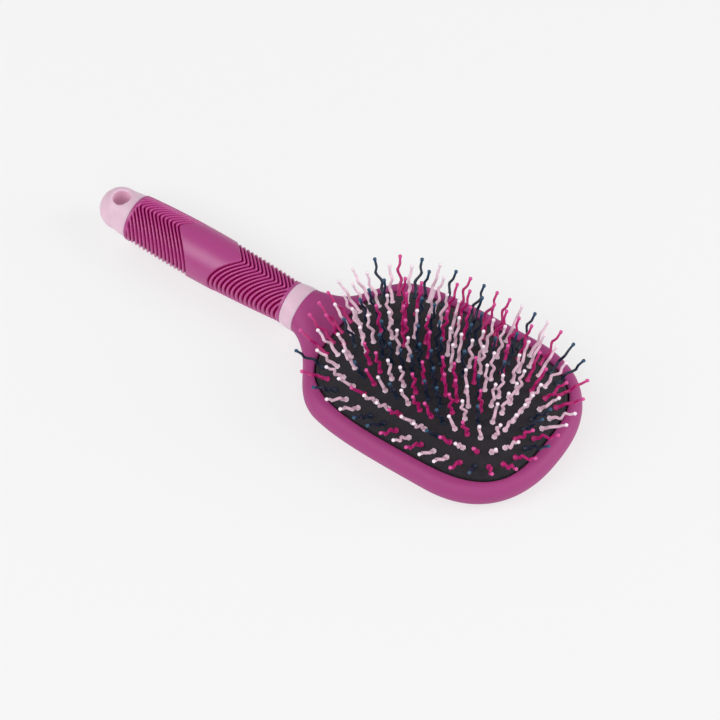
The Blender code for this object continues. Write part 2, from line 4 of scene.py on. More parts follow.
import bmesh
import bpy
import numpy as np
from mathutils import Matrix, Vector


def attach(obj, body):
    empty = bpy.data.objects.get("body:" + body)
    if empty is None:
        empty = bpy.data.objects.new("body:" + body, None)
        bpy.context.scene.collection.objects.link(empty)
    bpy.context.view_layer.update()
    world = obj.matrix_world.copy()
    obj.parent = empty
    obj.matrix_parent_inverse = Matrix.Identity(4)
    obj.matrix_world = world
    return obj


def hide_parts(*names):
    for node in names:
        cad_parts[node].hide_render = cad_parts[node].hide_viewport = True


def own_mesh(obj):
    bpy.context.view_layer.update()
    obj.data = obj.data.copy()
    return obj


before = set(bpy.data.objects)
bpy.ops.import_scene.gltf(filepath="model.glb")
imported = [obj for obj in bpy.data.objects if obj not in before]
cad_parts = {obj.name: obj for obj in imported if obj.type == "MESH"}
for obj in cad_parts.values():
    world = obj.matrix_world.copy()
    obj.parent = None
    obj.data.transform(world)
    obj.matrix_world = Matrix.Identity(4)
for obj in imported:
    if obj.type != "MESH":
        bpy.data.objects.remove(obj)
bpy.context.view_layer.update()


# Paddle. One plum moulding with a soft-touch coat: a flat back, a deep rounded edge and a neck
# that swells to meet the collar. The lip rolls over into the opening, and a ledge inside it
# carries the cushion. The core that runs through the whole handle is moulded with it.
WIDEST_X = 0.0188
TOE_REACH = 0.0414
HEEL_REACH = 0.0787
HALF_WIDTH = 0.0444
TOE_POWER = 2.36
HEEL_POWER = 3.8
FLARE_SHARE = 0.7
FLARE_START_PULL = 0.0185
FLARE_END_PULL = 0.0183
FLARE_END_SLOPE = 0.325
NECK_END_X = -0.0703
NECK_RISE_X = -0.0529
NECK_HALF_WIDTH = 0.0106
EDGE_HEIGHT = 0.0077
RIM_HEIGHT = 0.014
BACK_ROUND = 0.012
RIM_ROUND = 0.005
SECTION_POWER = 2.1
NECK_TOP = 0.0208
NECK_BOTTOM = 0.003
NECK_MIDDLE = 0.0119
LIP_OUT = 0.0014
LIP_DROP = 0.0007
LEDGE_HEIGHT = 0.0065
LEDGE_WIDTH = 0.0036
RECESS_FLOOR = 0.0032
# widest x, toe reach, heel reach, half width, toe power and heel power
OPENING = (0.0065, 0.0465, 0.0594, 0.0378, 3.2, 3.4)
CORNER_SHARE = 0.63
BACK_CENTRE = (0.004, 0.0)
BACK_SHARE = 0.9
AXIS_HEIGHT = 0.0119
CORE_RADIUS = 0.0066
CORE_BORE = 0.0042
CORE_BORE_DEPTH = 0.014
CORE_LENGTH = 0.0892
EGG_POINTS = 500
FLARE_POINTS = 300
OPENING_POINTS = 1440
LIP_POINTS = 4000
SIDE_COUNT = 170
NECK_COUNT = 29
EDGE_ROWS = 26
LIP_ROWS = 9
CORE_COLUMNS = 48
WELD = 1e-6
GRAIN_DETAIL = 3.0
MOTTLE_GRAINS = 40
MOTTLE_DETAIL = 5.0
ROUGHNESS_SWING = 0.05
GRAIN_BUMP = 0.35
BLEED_TINT = (1, 0.7, 0.8)
PLUM = (0.36, 0.036, 0.195)


def ease(share):
    """Rise from 0 to 1 with flat ends: 3 s squared less 2 s cubed."""
    held = np.clip(share, 0, 1)
    return held * held * (3 - 2 * held)


def egg(angles, widest_x, toe, heel, half_width, toe_power, heel_power):
    """Two superellipse halves that share their widest line, one for the toe, one for the heel."""
    cosines, sines = np.cos(angles), np.sin(angles)
    reach = np.where(cosines >= 0, toe, heel)
    power = np.where(cosines >= 0, toe_power, heel_power)
    x = widest_x + reach * np.sign(cosines) * np.abs(cosines) ** (2 / power)
    y = half_width * np.sign(sines) * np.abs(sines) ** (2 / power)
    return np.stack([x, y], -1)


def even(points, count, closed=False):
    """Points spaced evenly by length along a polyline, both ends kept unless it is closed."""
    if closed:
        points = np.concatenate([points, points[:1]])
    walked = np.concatenate([[0], np.cumsum(np.linalg.norm(np.diff(points, axis=0), axis=1))])
    stops = np.linspace(0, walked[-1], count + 1 if closed else count)
    if closed:
        stops = stops[:-1]
    return np.stack([np.interp(stops, walked, points[:, k]) for k in range(2)], -1)


def opening(inset, count):
    """The cushion's opening drawn in by the inset, corners tightened so that the gap is even."""
    widest_x, toe, heel, half_width, toe_power, heel_power = OPENING
    tighter = 1 + CORNER_SHARE * inset / half_width
    dense = egg(np.linspace(0, 2 * math.pi, OPENING_POINTS + 1)[:-1], widest_x, toe - inset,
                heel - inset, half_width - inset, toe_power * tighter, heel_power * tighter)
    return even(dense, count, closed=True)


def half_outline():
    """Paddle and neck on the +Y side: the egg up to the flare, then one cubic S to the collar."""
    last = math.pi - math.acos(FLARE_SHARE ** (HEEL_POWER / 2))
    body = egg(np.linspace(0, last, EGG_POINTS), WIDEST_X, TOE_REACH, HEEL_REACH, HALF_WIDTH,
               TOE_POWER, HEEL_POWER)
    leave = body[-1] - body[-2]
    leave = leave / np.linalg.norm(leave)
    arrive = np.array([-1, -FLARE_END_SLOPE])
    arrive = arrive / np.linalg.norm(arrive)
    start = body[-1]
    end = np.array([NECK_END_X, NECK_HALF_WIDTH])
    t = np.linspace(0, 1, FLARE_POINTS)[1:, None]
    flare = ((1 - t) ** 3 * start + 3 * t * (1 - t) ** 2 * (start + FLARE_START_PULL * leave)
             + 3 * t * t * (1 - t) * (end - FLARE_END_PULL * arrive) + t ** 3 * end)
    return np.concatenate([body, flare])


def edge_distance(plan, edge):
    """Distance to a polyline: each point is dropped square onto every piece of it, held between
    the piece's two ends, and the shortest drop is kept."""
    flat = plan.reshape(-1, 2)
    run = np.diff(edge, axis=0)
    away = flat[:, None, :] - edge[None, :-1, :]
    share = np.clip((away * run).sum(-1) / (run * run).sum(-1), 0, 1)
    drop = np.linalg.norm(away - share[..., None] * run, axis=-1).min(axis=1)
    return drop.reshape(plan.shape[:-1])


def paddle_height(plan, top):
    """Height of the moulding over its plan: a superellipse of the distance to the edge, which
    deepens and lifts from the paddle's rim to the round neck."""
    necking = ease((NECK_RISE_X - plan[..., 0]) / (NECK_RISE_X - NECK_END_X))
    half_width = np.interp(-plan[..., 0], -side[:, 0], side[:, 1])
    rounding = RIM_ROUND if top else BACK_ROUND
    depth = rounding + (half_width - rounding) * necking
    middle = EDGE_HEIGHT + (NECK_MIDDLE - EDGE_HEIGHT) * necking
    crest = RIM_HEIGHT + (NECK_TOP - RIM_HEIGHT) * necking if top else NECK_BOTTOM * necking
    away = np.minimum(edge_distance(plan, side), edge_distance(plan, far_side))
    share = np.clip(1 - away / depth, 0, 1)
    return middle + (crest - middle) * (1 - share ** SECTION_POWER) ** (1 / SECTION_POWER)


def skin(name, points, faces):
    """Make an object from points and faces, weld what coincides and turn the faces outward."""
    mesh = bpy.data.meshes.new(name)
    mesh.from_pydata(points, [], faces)
    work = bmesh.new()
    work.from_mesh(mesh)
    bmesh.ops.remove_doubles(work, verts=work.verts, dist=WELD)
    bmesh.ops.dissolve_degenerate(work, dist=WELD, edges=work.edges)
    bmesh.ops.recalc_face_normals(work, faces=work.faces)
    work.to_mesh(mesh)
    work.free()
    mesh.shade_smooth()
    thing = bpy.data.objects.new(name, mesh)
    bpy.context.scene.collection.objects.link(thing)
    return thing


def shell(name, rows, crisp, ring=False):
    """Skin a stack of closed rows (rows, columns, 3), which ends on points or meets as a ring,
    and keep edges steeper than the crisp angle sharp."""
    rows = np.asarray(rows, float)
    if not ring:
        first = np.broadcast_to(rows[0].mean(axis=0), rows[0].shape)
        last = np.broadcast_to(rows[-1].mean(axis=0), rows[-1].shape)
        rows = np.concatenate([first[None], rows, last[None]])
    count, columns = rows.shape[:2]
    index = np.arange(count * columns).reshape(count, columns)
    lower = index if ring else index[:-1]
    upper = np.roll(index, -1, axis=0) if ring else index[1:]
    faces = np.stack([lower, np.roll(lower, -1, axis=1), np.roll(upper, -1, axis=1), upper], -1)
    thing = skin(name, rows.reshape(-1, 3).tolist(), faces.reshape(-1, 4).tolist())
    thing.data.set_sharp_from_angle(angle=math.radians(crisp))
    return thing


def round_row(x, radius, count):
    """A circle round the handle's axis at one x, counted from the top line toward -Y."""
    turn = np.linspace(0, 2 * math.pi, count, endpoint=False)
    return np.stack([np.full(count, x), -radius * np.sin(turn),
                     AXIS_HEIGHT + radius * np.cos(turn)], -1)


def new_material(name):
    """An empty node material with its shader, and the tree to build in."""
    material = bpy.data.materials.new(name)
    material.use_nodes = True
    tree = material.node_tree
    return material, tree, tree.nodes["Principled BSDF"]


def node(tree, kind, settings=(), **inputs):
    """Add a node, set its properties and give its inputs values or links."""
    made = tree.nodes.new(kind)
    for key, value in dict(settings).items():
        setattr(made, key, value)
    for key, value in inputs.items():
        socket = made.inputs[int(key[1:])] if key[1:].isdigit() else made.inputs[key]
        if isinstance(value, bpy.types.NodeSocket):
            tree.links.new(value, socket)
        else:
            socket.default_value = value
    return made


def moulded(name, colour, roughness, grain, depth, mottle=0.05, sheen=0.0, painted_light=None,
            painted_light_from="", soft=0.0, bleed=0.001, shine=0.5, fade_shine=False,
            painted_glow=None, polish_and_glow_from="", polish=0.0):
    """Moulded plastic or rubber: fine grain in bump and roughness, a broad faint mottle in the
    colour. Where the mesh carries the first named attribute, a second colour that is painted
    light and shade, and no shine if it is to fade. Where it carries the second, a lighter
    colour that is painted light, and a roughness that is lowered by the polish."""
    material, tree, shader = new_material(name)
    place = node(tree, "ShaderNodeTexCoord").outputs["Object"]
    fine = node(tree, "ShaderNodeTexNoise", Vector=place, Scale=1 / grain, Detail=GRAIN_DETAIL)
    broad = node(tree, "ShaderNodeTexNoise", Vector=place, Scale=1 / (grain * MOTTLE_GRAINS),
                 Detail=MOTTLE_DETAIL)
    low = tuple(c * (1 - mottle) for c in colour)
    high = tuple(min(1, c * (1 + mottle)) for c in colour)
    tint = node(tree, "ShaderNodeMix", {"data_type": "RGBA"}, _0=broad.outputs["Fac"],
                _6=(*low, 1), _7=(*high, 1)).outputs[2]
    if painted_glow:
        polish_and_glow = node(tree, "ShaderNodeAttribute", {"attribute_name": polish_and_glow_from}).outputs["Fac"]
        tint = node(tree, "ShaderNodeMix", {"data_type": "RGBA"}, _0=polish_and_glow, _6=tint,
                    _7=(*painted_glow, 1)).outputs[2]
    if painted_light:
        share = node(tree, "ShaderNodeAttribute", {"attribute_name": painted_light_from}).outputs["Fac"]
        tint = node(tree, "ShaderNodeMix", {"data_type": "RGBA"}, _0=share, _6=tint,
                    _7=(*painted_light, 1)).outputs[2]
    shader.inputs["Specular IOR Level"].default_value = shine
    if fade_shine:
        left = node(tree, "ShaderNodeMath", {"operation": "MULTIPLY_ADD"}, _0=share, _1=-shine,
                    _2=shine)
        tree.links.new(left.outputs[0], shader.inputs["Specular IOR Level"])
    tree.links.new(tint, shader.inputs["Base Color"])
    rough = node(tree, "ShaderNodeMapRange", Value=fine.outputs["Fac"])
    rough.inputs["To Min"].default_value = roughness - ROUGHNESS_SWING
    rough.inputs["To Max"].default_value = roughness + ROUGHNESS_SWING
    matt = rough.outputs[0]
    if painted_glow:
        matt = node(tree, "ShaderNodeMath", {"operation": "MULTIPLY_ADD"}, _0=polish_and_glow, _1=-polish,
                    _2=matt).outputs[0]
    tree.links.new(matt, shader.inputs["Roughness"])
    bump = node(tree, "ShaderNodeBump", Strength=GRAIN_BUMP, Distance=depth,
                Height=fine.outputs["Fac"])
    tree.links.new(bump.outputs["Normal"], shader.inputs["Normal"])
    shader.inputs["Sheen Weight"].default_value = sheen
    shader.inputs["Subsurface Weight"].default_value = soft
    shader.inputs["Subsurface Scale"].default_value = bleed
    shader.inputs["Subsurface Radius"].default_value = BLEED_TINT
    return material


side = even(half_outline(), SIDE_COUNT)
far_side = side * (1, -1)
across = np.linspace(1, -1, NECK_COUNT)[1:-1, None]
neck_end = np.concatenate([np.full_like(across, NECK_END_X), NECK_HALF_WIDTH * across], 1)
outline = np.concatenate([side, neck_end, far_side[1:][::-1]])

# each column runs straight toward the middle and meets the lip at its own bearing
bearing = np.unwrap(np.arctan2(outline[:, 1], outline[:, 0] - BACK_CENTRE[0]))


def lip_row(outset, height):
    """One level of the opening's wall, taken at the bearings of the columns."""
    dense = opening(-outset, LIP_POINTS)
    turned = np.unwrap(np.arctan2(dense[:, 1], dense[:, 0] - BACK_CENTRE[0]))
    flat = np.stack([np.interp(bearing, turned, dense[:, k], period=2 * math.pi)
                     for k in range(2)], -1)
    return np.concatenate([flat, np.full((len(flat), 1), height)], -1)


reach = (1 - np.cos(np.linspace(0, math.pi / 2, EDGE_ROWS)))[:, None, None]
top_plan = outline + (lip_row(LIP_OUT, 0)[:, :2] - outline) * reach
top_rows = np.concatenate([top_plan, paddle_height(top_plan, True)[..., None]], -1)
back_plan = outline + (np.array(BACK_CENTRE) - outline) * reach * BACK_SHARE
back_rows = np.concatenate([back_plan, paddle_height(back_plan, False)[..., None]], -1)
lip_rows = [lip_row(LIP_OUT * (1 - math.cos(turn)), RIM_HEIGHT - LIP_DROP * (1 - math.sin(turn)))
            for turn in np.linspace(math.pi / 2, 0, LIP_ROWS)[1:]]
lip_rows += [lip_row(0, LEDGE_HEIGHT), lip_row(-LEDGE_WIDTH, LEDGE_HEIGHT),
             lip_row(-LEDGE_WIDTH, RECESS_FLOOR)]
paddle = shell("paddle", np.concatenate([back_rows[::-1], top_rows, lip_rows]), crisp=50)
soft_touch = moulded("soft_touch_plum", PLUM, roughness=0.6, grain=0.0003, depth=0.00003,
                     mottle=0.03, sheen=0.05)
paddle.data.materials.append(soft_touch)
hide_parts("paddle_body")
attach(paddle, "handle")

core_end = NECK_END_X - CORE_LENGTH
core_rows = [round_row(x, radius, CORE_COLUMNS) for x, radius in (
    (NECK_END_X, CORE_RADIUS), (core_end, CORE_RADIUS), (core_end, CORE_BORE),
    (core_end + CORE_BORE_DEPTH, CORE_BORE))]
core = shell("handle_core", core_rows, crisp=40)
core.data.materials.append(soft_touch)
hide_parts("paddle_body")
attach(core, "handle")


# Cushion. A rubber membrane faced with a fine dark weave. Its skirt is rolled under the lip and
# its flange is trapped on the ledge by a black ring; its crown carries the pins and gives way.
CUSHION_WALL = 0.0015
SEAM_HEIGHT = 0.015
CROWN_HEIGHT = 0.0229
CROWN_POWER = 2.6
CROWN_INSET = 0.0026
SPINE_HALF = 0.0187
END_TUCK = 0.0018
SEAM_POWER = 12
SPINE_SQUARENESS = 2.9
SQUARENESS_FALL = 1.2
SKIRT = ((0.0004, 0.0068), (0.0004, 0.008), (0.0016, 0.008), (0.0016, 0.0113),
         (0.001, 0.0121), (0.0008, 0.0127), (0.0009, 0.0134), (0.0013, 0.0141), (0.0023, 0.015),
         (0.0023, 0.0135), (0.0024, 0.0127), (0.003, 0.0113), (0.0031, 0.0068))
RETAINER = ((0.0003, 0.0083), (0.0003, 0.0105), (0.0013, 0.0105), (0.0013, 0.0083))
WEAVE_PITCH = 0.00085
WEAVE_WANDER = 0.5
WANDER_DETAIL = 1.0
WANDER_SCALE = 4.0
WEAVE_BUMP = 0.5
THREAD_HEIGHT = 0.0001
FUZZ_SCALE = 1200.0
FUZZ_SHARE = 0.8
CLOTH_ROUGHNESS = 0.75
CLOTH_SHINE = 0.3
CLOTH_SHEEN = 0.08
CLOTH_DARK = (0.001, 0.001, 0.001)
CLOTH_LIGHT = (0.03, 0.028, 0.036)
RETAINER_BLACK = (0.008, 0.008, 0.009)
RING_COLUMNS = 240
CROWN_COLUMNS = 320
CROWN_ROWS = 40
LINE_POINTS = 2880
CROWN_LAP = ((0.0021, 0.0149), (0.00225, 0.01485), (0.0026, 0.0146))


def opening_rings(profile, count=RING_COLUMNS):
    """Carry a profile of (inset, height) pairs round the opening."""
    rows = []
    for inset, height in profile:
        flat = opening(inset, count)
        rows.append(np.concatenate([flat, np.full((count, 1), height)], -1))
    return rows


def crown_line(share, angles):
    """Level line of the crown: a spine at share 0 that opens into the seam's egg at share 1."""
    widest_x, toe, heel, half_width, toe_power, heel_power = OPENING
    tighter = 1 + CORNER_SHARE * CROWN_INSET / half_width
    rim_ease = share ** SEAM_POWER
    toe_end = widest_x + toe - CROWN_INSET
    heel_end = heel - CROWN_INSET - widest_x
    spread = SPINE_HALF + (END_TUCK - SPINE_HALF) * share - END_TUCK * rim_ease
    squarer = SPINE_SQUARENESS * (1 - share) ** SQUARENESS_FALL
    return egg(angles, widest_x * rim_ease, spread + toe_end * share - widest_x * rim_ease,
               spread + heel_end * share + widest_x * rim_ease,
               (half_width - CROWN_INSET) * share, toe_power * tighter + squarer,
               heel_power * tighter + squarer)


def crown_height(share):
    """The crown falls from its spine to the seam as a power of the share."""
    return SEAM_HEIGHT + (CROWN_HEIGHT - SEAM_HEIGHT) * (1 - share ** CROWN_POWER)


def woven(name):
    """Fine plain weave: two crossed waves on the object's own coordinates, broken by fuzz."""
    material, tree, shader = new_material(name)
    place = node(tree, "ShaderNodeTexCoord").outputs["Object"]
    waves = []
    for direction in ("X", "Y"):
        wave = node(tree, "ShaderNodeTexWave", {"bands_direction": direction}, Vector=place,
                    Scale=math.pi / (10 * WEAVE_PITCH), Distortion=WEAVE_WANDER)
        wave.inputs["Detail"].default_value = WANDER_DETAIL
        wave.inputs["Detail Scale"].default_value = WANDER_SCALE
        waves.append(wave.outputs["Fac"])
    both = node(tree, "ShaderNodeMath", {"operation": "MULTIPLY"}, _0=waves[0], _1=waves[1])
    fuzz = node(tree, "ShaderNodeTexNoise", Vector=place, Scale=FUZZ_SCALE,
                Detail=GRAIN_DETAIL)
    blend = node(tree, "ShaderNodeMath", {"operation": "MULTIPLY_ADD"}, _0=fuzz.outputs["Fac"],
                 _1=FUZZ_SHARE, _2=both.outputs[0])
    tint = node(tree, "ShaderNodeMix", {"data_type": "RGBA"}, _0=blend.outputs[0],
                _6=(*CLOTH_DARK, 1), _7=(*CLOTH_LIGHT, 1))
    tree.links.new(tint.outputs[2], shader.inputs["Base Color"])
    bump = node(tree, "ShaderNodeBump", Strength=WEAVE_BUMP, Distance=THREAD_HEIGHT,
                Height=both.outputs[0])
    tree.links.new(bump.outputs["Normal"], shader.inputs["Normal"])
    shader.inputs["Roughness"].default_value = CLOTH_ROUGHNESS
    shader.inputs["Specular IOR Level"].default_value = CLOTH_SHINE
    shader.inputs["Sheen Weight"].default_value = CLOTH_SHEEN
    return material


cushion_cloth = woven("cushion_weave")
skirt = shell("cushion_skirt", opening_rings(SKIRT), crisp=50, ring=True)
skirt.data.materials.append(cushion_cloth)
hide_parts("cushion_surround")
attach(skirt, "handle")
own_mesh(skirt)

crown_rows = []
for share in np.sin(np.linspace(0, math.pi / 2, CROWN_ROWS)):
    line = even(crown_line(share, np.linspace(0, 2 * math.pi, LINE_POINTS + 1)[:-1]),
                CROWN_COLUMNS, closed=True)
    crown_rows.append(np.concatenate([line, np.full((CROWN_COLUMNS, 1), crown_height(share))], -1))
crown_rows = np.array(crown_rows)
under_rows = crown_rows[::-1] - (0, 0, CUSHION_WALL)
lap_rows = opening_rings(CROWN_LAP, CROWN_COLUMNS)
crown = shell("cushion_crown", np.concatenate([crown_rows, lap_rows, under_rows]), crisp=60,
              ring=True)
crown.data.materials.append(cushion_cloth)
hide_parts("pin_ring_1", "pin_ring_2", "pin_ring_3", "pin_ring_4", "pin_ring_5",
            "pin_ring_6")
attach(crown, "pin_bed")

retainer = shell("retaining_band", opening_rings(RETAINER), crisp=40, ring=True)
retainer.data.materials.append(moulded("retainer_black", RETAINER_BLACK, roughness=0.6,
                                       grain=0.0004, depth=0.00003))
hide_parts("retaining_ring")
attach(retainer, "handle")


# Pins. Moulded nylon in three colours. Each has a flat round foot that seats on the membrane, a
# stem with one wave in it that gives way sideways, and a ball at the tip. They stand in six
# rows that follow the cushion's outline, and lean out more toward the rim.
PINS_PER_QUARTER = (4, 6, 7, 9, 10, 11)
PIN_LEANS = (3, 6, 10, 19, 31, 44)
PIN_LENGTH = 0.017
WAVE_START = 0.235
WAVE_END = 0.815
WAVE_SWING = 0.001
WAVE_EASE = 0.25
# share of the pin's length and radius there, from below the foot to the top of the ball
FOOT_PROFILE = ((-0.02, 0.0013), (0.019, 0.00128), (0.03, 0.0008))
STEM_PROFILE = ((0.25, 0.00076), (0.32, 0.00075), (0.38, 0.00073), (0.45, 0.00072),
                (0.6, 0.00068), (0.67, 0.00067), (0.73, 0.00064), (0.8, 0.00061))
BALL_PROFILE = ((0.945, 0.00056), (0.972, 0.00078), (1.005, 0.00087), (1.035, 0.00064))
TIP_SHARE = 1.05
FOOT_TOP = 0.027
BALL_HIGHLIGHT_FROM = 0.88
BALL_HIGHLIGHT_RISE = 0.09
PIN_SIDES = 6
QUARTER_POINTS = 361
LINE_STEP = 1e-4
# name, colour, paler colour painted on the ball as its highlight, roughness, share of that painted
# highlight on the foot
PIN_KINDS = (
    ("pale", (0.9, 0.63, 0.75), (0.96, 0.8, 0.89), 0.3, 1.0),
    ("magenta", (0.51, 0.01, 0.17), (0.7, 0.07, 0.32), 0.3, 0.1),
    ("navy", (0.002, 0.016, 0.04), (0.015, 0.075, 0.15), 0.33, 0.0),
)
KIND_COUNTS = (80, 60, 48)
PIN_SEED = 5

stations = np.array(FOOT_PROFILE + STEM_PROFILE + BALL_PROFILE)


def even_row(share, steps):
    """Points of a level line at even steps in each quarter, starting half a step from the axis,
    each with the line's own direction there."""
    found = []
    for quarter in range(4):
        angles = np.linspace(quarter, quarter + 1, QUARTER_POINTS) * math.pi / 2
        dense = crown_line(share, angles)
        walked = np.concatenate([[0], np.cumsum(np.linalg.norm(np.diff(dense, axis=0), axis=1))])
        stops = (np.arange(steps) + 0.5) / steps * walked[-1]
        here, ahead, behind = [
            np.stack([np.interp(stops + shift, walked, dense[:, k]) for k in range(2)], -1)
            for shift in (0, LINE_STEP, -LINE_STEP)]
        found.append(np.concatenate([here, ahead - behind], -1))
    return np.concatenate(found)


def pin_tubes(base, out, lean, turn):
    """Tubes that follow each leaning axis: the profile's radius round a centre line which sways
    by one sine wave in the pin's own plane, eased in and out."""
    s = stations[:, 0]
    up = np.array([0, 0, 1.0])
    outward = np.concatenate([out, np.zeros((len(out), 1))], 1)
    axis = np.cos(lean)[:, None] * up + np.sin(lean)[:, None] * outward
    side_on = np.cross(up, outward)
    tilt = np.cross(axis, side_on)
    sway = np.cos(turn)[:, None] * side_on + np.sin(turn)[:, None] * tilt
    u = np.clip((s - WAVE_START) / (WAVE_END - WAVE_START), 0, 1)
    swing = (WAVE_SWING * np.sin(2 * math.pi * u) * ease(u / WAVE_EASE)
             * ease((1 - u) / WAVE_EASE))
    centre = (base[:, None, :] + axis[:, None, :] * (s * PIN_LENGTH)[None, :, None]
              + sway[:, None, :] * swing[None, :, None])
    around = np.linspace(0, 2 * math.pi, PIN_SIDES, endpoint=False)
    spoke = (side_on[:, None, :] * np.cos(around)[None, :, None]
             + tilt[:, None, :] * np.sin(around)[None, :, None])
    tubes = centre[:, :, None, :] + spoke[:, None, :, :] * stations[None, :, 1, None, None]
    tips = base + axis * TIP_SHARE * PIN_LENGTH
    return tubes, np.stack([base + axis * PIN_LENGTH * s[0], tips], 1)


def pins_mesh(name, chosen, foot_highlight):
    """Join the tubes of the chosen pins, each closed by a point at its foot and its tip. The
    attribute ends is 1 on the ball, where a paler colour is painted in as its highlight and
    reflection, and less on the foot, whose rim gets the same painted highlight."""
    tubes, ends = pin_tubes(feet[chosen, :3], feet[chosen, 3:5], np.radians(feet[chosen, 5]),
                            turns[chosen])
    count, levels, sides = tubes.shape[:3]
    points = np.concatenate([tubes.reshape(-1, 3), ends.reshape(-1, 3)])
    index = np.arange(count * levels * sides).reshape(count, levels, sides)
    spun = np.roll(index, -1, axis=2)
    quads = np.stack([index[:, :-1], spun[:, :-1], spun[:, 1:], index[:, 1:]], -1).reshape(-1, 4)
    foot = count * levels * sides + np.arange(count)[:, None] * 2 + np.zeros(sides, int)
    lower = np.stack([foot, spun[:, 0], index[:, 0]], -1).reshape(-1, 3)
    upper = np.stack([foot + 1, index[:, -1], spun[:, -1]], -1).reshape(-1, 3)
    thing = skin(name, points.tolist(), quads.tolist() + lower.tolist() + upper.tolist())
    s = stations[:, 0]
    # painted highlight: a paler colour that rises up the ball, and on the rim of the foot
    pale = np.maximum(ease((s - BALL_HIGHLIGHT_FROM) / BALL_HIGHLIGHT_RISE), foot_highlight * (s < FOOT_TOP))
    pale = np.concatenate([np.tile(np.repeat(pale, sides), count), np.ones(2 * count)])
    thing.data.attributes.new("ends", "FLOAT", "POINT").data.foreach_set("value", pale)
    return thing


# each foot: x, y, z, the outward direction in plan, and the lean in degrees
feet = []
for number, steps in enumerate(PINS_PER_QUARTER):
    share = (number + 0.5) / len(PINS_PER_QUARTER)
    row = even_row(share, steps)
    along = row[:, 2:] / np.linalg.norm(row[:, 2:], axis=1, keepdims=True)
    rest = np.tile([crown_height(share), PIN_LEANS[number]], (len(row), 1))
    feet.append(np.column_stack([row[:, :2], rest[:, 0], along[:, 1], -along[:, 0], rest[:, 1]]))
feet = np.concatenate(feet)
chance = np.random.default_rng(PIN_SEED)
turns = chance.uniform(0, 2 * math.pi, len(feet))
kinds = chance.permutation(np.repeat(np.arange(len(PIN_KINDS)), KIND_COUNTS))
for number, (kind, colour, ball_highlight_colour, roughness, foot_highlight) in enumerate(PIN_KINDS):
    pins = pins_mesh("pins_" + kind, np.flatnonzero(kinds == number), foot_highlight)
    pins.data.materials.append(moulded("nylon_" + kind, colour, roughness, grain=0.0002,
                                       depth=0.00001, painted_light=ball_highlight_colour, painted_light_from="ends",
                                       soft=0.15))
    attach(pins, "pin_bed")


# Collar. A pale pink ring, moulded in hard plastic, that is slid over the core and hides the
# step between the neck and the rubber sleeve. It is oval at the neck and round at the sleeve.
JOINT_GAP = 0.00006
COLLAR_LENGTH = 0.007
COLLAR_BACK_RADIUS = 0.0099
COLLAR_PROUD = 0.0002
COLLAR_SWELL = 0.0002
EDGE_BREAK = 0.0003
ROUND_COLUMNS = 128
CORNER_ROWS = 7
COLLAR_ROWS = 16
PALE_PINK = (0.745, 0.525, 0.635)
PINK_FINISH = {"roughness": 0.42, "grain": 0.0004, "depth": 0.00003, "mottle": 0.025,
               "soft": 0.6, "bleed": 0.003}


def oval_row(x, grow):
    """The neck's end section, grown by an amount: a superellipse with unlike halves."""
    angle = math.pi / 2 - np.linspace(0, 2 * math.pi, ROUND_COLUMNS, endpoint=False)
    sines, cosines = np.sin(angle), np.cos(angle)
    half_height = np.where(sines > 0, NECK_TOP - NECK_MIDDLE, NECK_MIDDLE - NECK_BOTTOM)
    power = 2 / SECTION_POWER
    y = -(NECK_HALF_WIDTH + grow) * np.sign(cosines) * np.abs(cosines) ** power
    z = NECK_MIDDLE + (half_height + grow) * np.sign(sines) * np.abs(sines) ** power
    return np.stack([np.full(ROUND_COLUMNS, x), y, z], -1)


collar_front = NECK_END_X - JOINT_GAP
collar_back = NECK_END_X - COLLAR_LENGTH
corner = np.linspace(0, math.pi / 2, CORNER_ROWS)
collar_rows = [oval_row(collar_front - EDGE_BREAK * (1 - math.cos(turn)),
                        COLLAR_PROUD - EDGE_BREAK * (1 - math.sin(turn))) for turn in corner]
for share in np.linspace(0, 1, COLLAR_ROWS)[1:-1]:
    mixed = (oval_row(0, COLLAR_PROUD) * (1 - share)
             + round_row(0, COLLAR_BACK_RADIUS, ROUND_COLUMNS) * share)
    middle = np.array([0, 0, NECK_MIDDLE * (1 - share) + AXIS_HEIGHT * share])
    swell = COLLAR_SWELL / COLLAR_BACK_RADIUS * math.sin(math.pi * share)
    mixed = middle + (mixed - middle) * (1 + swell)
    mixed[:, 0] = (collar_front - EDGE_BREAK
                   + (collar_back - collar_front + 2 * EDGE_BREAK) * share)
    collar_rows.append(mixed)
collar_rows += [round_row(collar_back + EDGE_BREAK * (1 - math.cos(turn)),
                          COLLAR_BACK_RADIUS - EDGE_BREAK * (1 - math.sin(turn)), ROUND_COLUMNS)
                for turn in corner[::-1]]
bore = CORE_RADIUS + JOINT_GAP
collar_rows += [round_row(collar_back, bore, ROUND_COLUMNS),
                round_row(collar_front, bore, ROUND_COLUMNS)]
collar = shell("collar", collar_rows, crisp=50, ring=True)
pink_plastic = moulded("pale_pink", PALE_PINK, **PINK_FINISH)
collar.data.materials.append(pink_plastic)
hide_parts("neck_collar")
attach(collar, "handle")


# Grip. A rubber sleeve moulded over the core, with two fields of fine chevron ribs. Between the
# fields a smooth leaf-shaped panel stands a little proud, and a plain border closes the ribs at
# each end of the sleeve.
GRIP_LENGTH = 0.0822
GRIP_SHARES = (0.0, 0.313, 0.641, 1.0)
GRIP_RADII = (0.00975, 0.01135, 0.0119, 0.01075)
GRIP_BORDER = 0.0012
BORDER_FADE = 0.0006
GROOVES = 16
COLLAR_FIELD_START = 0.026
COLLAR_PITCH = 0.0021
CAP_FIELD_START = 0.0229
CAP_PITCH = 0.00205
GROOVE_DEPTH = 0.0015
RIB_HALF_SHARE = 0.325
RIB_POWER = 2.4
RIB_ANGLES = (-86, -72, -56, -38, -18, 0, 18, 38, 56, 72, 86)
RIB_DROP = 0.0002
SHADE_FROM = 0.5
APEX_ROUND = 0.09
